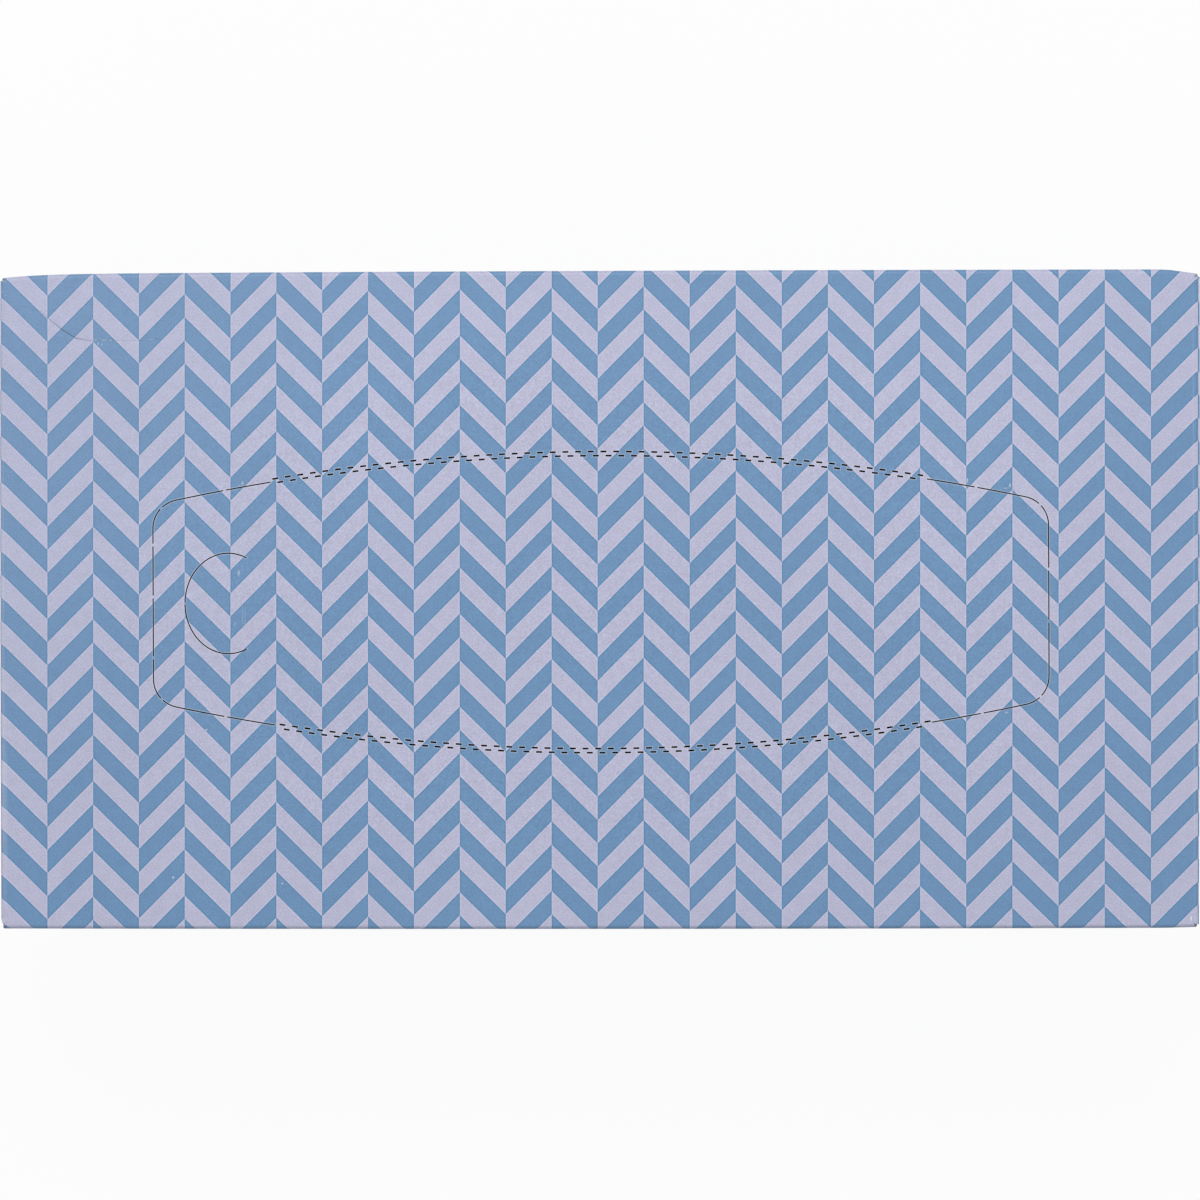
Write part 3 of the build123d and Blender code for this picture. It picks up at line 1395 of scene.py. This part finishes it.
@dataclass(frozen=True)
class PrintedCard:
    """Coated board, printed in two inks with a herringbone whose colours swap at every column line."""

    pale: Ink = (184, 185, 210)
    dusty: Ink = (107, 144, 183)
    bare_and_highlight: Ink = (226, 226, 232)  # the board, where ink is rubbed off, and the colour of the painted highlights
    shade_ink: Ink = (60, 78, 100)  # painted shade in creases, round corners and along the long folds
    column_width: float = 8.355
    stripe_pair: float = 8.433  # height of a dusty and a pale stripe
    column_line: float = -0.09  # place of one line between columns
    stripe_middle: float = 4.27  # height of a stripe's middle on that line
    slope: float = 0.998
    climb: float = 0.0148  # of the columns, for each millimetre along
    turn: float = 0.0023  # of the whole print, in radians
    ink_rim: float = 0.3  # width of the stronger rim of a stripe
    rim_strength: float = 0.25
    fade: float = 0.14  # how far the inks draw together in the back left corner
    fade_start: float = -25.0  # along X
    fade_run: float = 80.0
    fade_middle: float = 0.6  # share of the fade half way up the top
    fade_rise: float = 100.0  # distance up the top over which that share grows by one
    shade: float = 0.03
    mottle: tuple[Grain, ...] = (Grain(3600, 1, 0.5), Grain(700, 4, 0.16), Grain(18, 2, 0.1))
    # strengths of painted shade: in pressed creases and round corners, and along the long folds, faint at the
    # back and strong at the front
    crease_shade: float = 0.7
    long_fold_line: float = 58.6  # distance from the middle at which a long fold begins to darken with painted shade
    back_fold_shade: float = 0.07
    front_fold_shade: float = 0.38
    flecks: Grain = Grain(900, 3)
    fold_reach: float = 0.5  # how much a fold adds to the flecks
    fleck_limit: float = 1.16  # sum at which ink begins to come off
    fleck_contrast: float = 5.0
    fold_wear: float = 0.4
    # painted highlight on the lip round each cut
    lip_highlight: float = 0.45
    mark_edge: float = 1.3  # square of the distance at which each scuff and highlight ends
    mark_contrast: float = 1.6
    roughness: float = 0.46
    gloss: Grain = Grain(60, 3, 0.12)  # how far the roughness strays
    specular: float = 0.35
    tooth: tuple[Grain, ...] = (Grain(2600, 3), Grain(500, 2, 0.6))
    scuffs_and_highlights: tuple[ScuffAndHighlight, ...] = (
        ScuffAndHighlight((-77.5, -50.4), (0.22, 0.2), 0.9),
        ScuffAndHighlight((-57.6, -51.5), (0.2, 0.16), 0.6),
        ScuffAndHighlight((-71.4, -23.5), (0.25, 0.16), 0.5),
        ScuffAndHighlight((-65.4, 5.0), (0.22, 0.6), 0.35),
        ScuffAndHighlight((-66.1, -4.2), (0.16, 0.5), 0.3),
        ScuffAndHighlight((-64.72, -5.1), (0.12, 4.2), 0.16),
        ScuffAndHighlight((-64.28, -5.1), (0.12, 4.2), 0.16),
        ScuffAndHighlight((-64.7, 21.4), (0.2, 0.4), 0.4),
        ScuffAndHighlight((-65.2, 20.9), (0.3, 0.15), 0.2),
        ScuffAndHighlight((67.0, 21.5), (0.15, 0.5), 0.6),
        ScuffAndHighlight((74.7, 20.6), (0.16, 0.42), 0.55),
        ScuffAndHighlight((73.9, 20.1), (0.35, 0.14), 0.3),
        ScuffAndHighlight((74.0, -20.6), (0.4, 0.2), 0.3),
        ScuffAndHighlight((-91.5, 47.6), (0.5, 0.12), 0.35),
        ScuffAndHighlight((-89.9, 47.6), (0.7, 0.1), 0.3),
        ScuffAndHighlight((-88.7, 47.55), (0.3, 0.12), 0.35),
        ScuffAndHighlight((-91.0, 46.95), (0.14, 0.3), 0.35),
        ScuffAndHighlight((-90.3, 46.8), (0.12, 0.25), 0.35),
        ScuffAndHighlight((-87.0, 47.4), (0.3, 0.12), 0.25),
        ScuffAndHighlight((-81.4, 47.7), (0.6, 0.12), 0.2),
        ScuffAndHighlight((107.3, -58.1), (0.14, 0.5), 0.9),
        # painted highlights: long light lines just inside both end folds
        ScuffAndHighlight((107.9, 0.0), (0.16, 62.0), 0.12),
        ScuffAndHighlight((-108.4, 0.0), (0.2, 62.0), 0.12),
        ScuffAndHighlight((-108.2, -38.0), (0.5, 18.0), 0.1),
    )

    def herringbone(self, graph: Graph) -> Value:
        """About 1 on the dusty ink and 0 on the pale one, each a little stronger along its rim.

        The print lies a little turned on the board. Each column holds sloping stripes of even height.
        Columns lean left and right in turn, and the colours swap from column to column, so that the
        stripes' edges meet in a zigzag. The rim fades out over the distance to the nearest edge.

        Args:
            graph: Graph of the material.

        Returns:
            The mask.
        """
        flat_x, flat_y = graph.blank_place()
        x, y = flat_x - flat_y * self.turn, flat_y + flat_x * self.turn
        across = (x - self.column_line) / self.column_width
        rise = across.zigzag() * (self.slope * self.column_width)
        height = y - self.stripe_middle - rise - (x - self.column_line) * self.climb
        swapped = (across.floor() + 1) % 2 * 0.5
        pair = (height / self.stripe_pair + 0.25 + swapped).fraction()
        dusty = pair > 0.5
        to_column = 0.5 - abs(across.fraction() - 0.5)
        to_stripe = 0.5 - abs((pair * 2).fraction() - 0.5)
        leaning = self.stripe_pair / 2 * math.cos(math.atan(self.slope))
        apart = (to_column * self.column_width).lesser(to_stripe * leaning)
        return dusty + (dusty - 0.5) * (1 - apart / self.ink_rim).clamped() * (2 * self.rim_strength)

    def rubbed_and_highlit(self, graph: Graph) -> Value:
        """How far the print is lightened: ink rubbed off in flecks along the folds and at scuffs, and painted
        highlights round the cuts and by the end folds.

        Args:
            graph: Graph of the material.

        Returns:
            The mask, 0 to 1.
        """
        flecks = graph.cloud(self.flecks)
        off = graph.attribute(FOLD_ATTRIBUTE) * self.fold_reach + flecks - self.fleck_limit
        wear_and_highlight = (off * self.fleck_contrast).clamped() * self.fold_wear
        # painted highlight round each cut, where the attribute is -1
        wear_and_highlight = wear_and_highlight + (0 - graph.attribute(PAINTED_LIGHT_ATTRIBUTE)).clamped() * self.lip_highlight
        sharp = flecks * self.mark_contrast
        # rubbed scuffs, and painted highlights along the end folds
        for mark in self.scuffs_and_highlights:
            spot = (self.mark_edge - graph.off_middle(mark.middle, mark.halves)) * sharp
            wear_and_highlight = wear_and_highlight + spot.clamped() * mark.strength
        return wear_and_highlight.clamped()

    def painted_shade(self, graph: Graph) -> Value:
        """How much painted shade darkens the board: in pressed creases and round corners, and along the long
        folds, most at the front.

        Args:
            graph: Graph of the material.

        Returns:
            The mask, 0 to 1.
        """
        _, y = graph.blank_place()
        long_fold = graph.attribute(FOLD_ATTRIBUTE) * (abs(y) - self.long_fold_line).clamped()
        share = self.back_fold_shade + (y < 0) * (self.front_fold_shade - self.back_fold_shade)
        return (graph.attribute(PAINTED_LIGHT_ATTRIBUTE) * self.crease_shade + long_fold * share).clamped()

    def inks(self, graph: Graph) -> bpy.types.NodeSocket:
        """Colour of the print: both inks, drawn a little closer together towards the back left corner.

        Args:
            graph: Graph of the material.

        Returns:
            The colour, with a faint mottle.
        """
        x, y = graph.blank_place()
        mask = self.herringbone(graph)
        along, up = (self.fade_start - x) / self.fade_run, self.fade_middle + y / self.fade_rise
        faded = along.clamped() * up.clamped() * self.fade
        colour = graph.mix(mask + (0.5 - mask) * faded, ink(*self.pale), ink(*self.dusty))
        return graph.mix(self.shade + graph.clouds(self.mottle), colour, BLACK)

    def material(self) -> bpy.types.Material:
        """Makes the material: inks, painted shade, rubbed places, painted highlights and the board's fine
        tooth.

        Returns:
            The material.
        """
        material, graph = new_graph("printed_card")
        # painted shade darkens the inks in creases, round corners and along the long folds
        colour = graph.mix(self.painted_shade(graph), self.inks(graph), ink(*self.shade_ink))
        graph.surface(
            {
                # rubbed ink and painted highlights lighten the colour towards the bare board
                "Base Color": graph.mix(self.rubbed_and_highlit(graph), colour, ink(*self.bare_and_highlight)),
                "Roughness": self.roughness + graph.clouds([self.gloss]),
                "Specular IOR Level": self.specular,
                "Normal": graph.tooth(self.tooth),
            }
        )
        return material


@dataclass(frozen=True)
class PlainCard:
    """Board in one colour, with a fine tooth."""

    name: str
    colour: Ink
    shade: Ink
    roughness: float
    grain: Grain
    specular: float = 0.3
    tooth: tuple[Grain, ...] = (Grain(2600, 3),)

    def material(self) -> bpy.types.Material:
        """Makes the material: two close shades in a fine grain.

        Returns:
            The material.
        """
        material, graph = new_graph(self.name)
        graph.surface(
            {
                "Base Color": graph.mix(graph.cloud(self.grain), ink(*self.shade), ink(*self.colour)),
                "Roughness": self.roughness,
                "Specular IOR Level": self.specular,
                "Normal": graph.tooth(self.tooth),
            }
        )
        return material


FINISHES: Mapping[Face, PrintedCard | PlainCard] = {
    Face.PRINT: PrintedCard(),
    Face.PLAIN: PlainCard("plain_card", (190, 191, 213), (184, 185, 208), 0.5, Grain(400, 4)),
    Face.RAW: PlainCard("raw_edge", (214, 208, 198), (176, 168, 156), 0.9, Grain(3000, 4)),
    # painted shade: the cuts' near-black floors and walls stand for the dark inside of the box
    Face.CUT: PlainCard("cut", (12, 14, 22), (6, 7, 12), 1.0, Grain(3000, 4)),
}


@dataclass(frozen=True)
class Lamp:
    """A soft square lamp that faces the box.

    Attributes:
        name: Its name.
        place: Where it hangs, in metres.
        size: Length of its sides, in metres.
        watts: Its power.
    """

    name: str
    place: tuple[float, float, float]
    size: float
    watts: float

    def build(self) -> None:
        """Hangs the lamp and turns it to the foot of the box."""
        light = bpy.data.lights.new(self.name, "AREA")
        light.size = self.size
        light.energy = self.watts
        lamp = new_object(self.name, light)
        lamp.location = self.place
        lamp.rotation_euler = (-Vector(self.place)).to_track_quat("-Z", "Y").to_euler()


@dataclass
class Studio:
    """Floor, lamps, world and camera."""

    height: float  # of the box
    frame_width: float = 218.0  # what the picture's width shows at the top of the box
    camera_reach: float = 650.0
    far_clip: float = 50.0  # metres
    sensor: float = 36.0
    roll: float = -0.13  # degrees
    tilt: float = 1.03
    centre: tuple[float, float] = (0.33, -0.045)
    floor_half: float = 3.0  # metres
    floor_drop: float = 0.0002  # metres that it lies below the box
    floor_grey: float = 0.8
    floor_glow: float = 0.93  # share of plain white in what the camera sees of the floor
    sky: float = 0.48  # strength of the world's light
    lamps: tuple[Lamp, ...] = (
        Lamp("key", (-0.06, 0.55, 0.8), 0.6, 5.25),
        Lamp("fill", (0.9, -0.55, 1.15), 1.0, 2.7),
        Lamp("front", (-0.4, -1.0, 0.35), 0.8, 1.6),
    )

    def floor(self) -> None:
        """A wide white floor that shows near white to the camera and keeps a soft shadow."""
        mesh = bpy.data.meshes.new("floor")
        corners = np.array([(-1, -1), (1, -1), (1, 1), (-1, 1)]) * self.floor_half
        mesh.from_pydata([(x, y, -self.floor_drop) for x, y in corners.tolist()], [], [(0, 1, 2, 3)])
        floor = new_object("floor", mesh)
        material, graph = new_graph("floor")
        ray = graph.node("ShaderNodeLightPath").outputs
        seen = Value(graph, ray["Is Camera Ray"])
        for name in ("Is Glossy Ray", "Is Transmission Ray"):
            seen = seen + Value(graph, ray[name])
        matt = graph.node("ShaderNodeBsdfDiffuse", None, {"Color": (*[self.floor_grey] * 3, 1)})
        white = graph.node("ShaderNodeEmission", None, {"Color": WHITE, "Strength": 1.0})
        share = seen.clamped() * self.floor_glow
        mixed = graph.node("ShaderNodeMixShader", None, {0: share, 1: matt.outputs[0], 2: white.outputs[0]})
        graph.node("ShaderNodeOutputMaterial", None, {"Surface": mixed.outputs[0]})
        mesh.materials.append(material)

    def world(self) -> None:
        """An even pale sky: the plain level of the light, and white where the camera sees it."""
        world = bpy.data.worlds.new("sky")
        bpy.context.scene.world = world
        world.use_nodes = True
        graph = Graph(world.node_tree)
        ray = graph.node("ShaderNodeLightPath").outputs["Is Camera Ray"]
        sky = graph.node("ShaderNodeBackground", None, {"Color": WHITE, "Strength": self.sky})
        seen = graph.node("ShaderNodeBackground", None, {"Color": WHITE, "Strength": 1.0})
        mixed = graph.node("ShaderNodeMixShader", None, {0: ray, 1: sky.outputs[0], 2: seen.outputs[0]})
        graph.node("ShaderNodeOutputWorld", None, {"Surface": mixed.outputs[0]})

    def camera(self) -> None:
        """A long lens straight above the box, with the top's length as wide as the picture."""
        data = bpy.data.cameras.new("camera")
        data.sensor_fit = "HORIZONTAL"
        data.sensor_width = self.sensor
        data.lens = self.sensor * self.camera_reach / self.frame_width
        data.clip_end = self.far_clip
        camera = new_object("camera", data)
        tilt = math.radians(self.tilt)
        x = self.centre[0] + self.camera_reach * math.sin(tilt)
        z = self.height + self.camera_reach * math.cos(tilt)
        camera.location = (x * MM, self.centre[1] * MM, z * MM)
        camera.rotation_euler = (0, tilt, math.radians(self.roll))
        bpy.context.scene.camera = camera

    def build(self) -> None:
        """Sets up everything that isn't the box."""
        self.floor()
        self.world()
        for lamp in self.lamps:
            lamp.build()
        self.camera()
        bpy.context.scene.view_settings.view_transform = "Standard"


def main() -> None:
    """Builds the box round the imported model, dresses it and sets up the studio."""
    logging.basicConfig(level=logging.INFO, format="%(message)s")
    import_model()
    low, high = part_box(NODE)
    length, width, height = ((high - low) / MM)[:]
    carton = Carton(length, width, height)
    piece = carton.build()
    carton.dress(piece, FINISHES)
    log.info("piece %s on %s, for %s", piece.name, BODY, NODE)
    Studio(height).build()


if __name__ == "__main__":
    main()
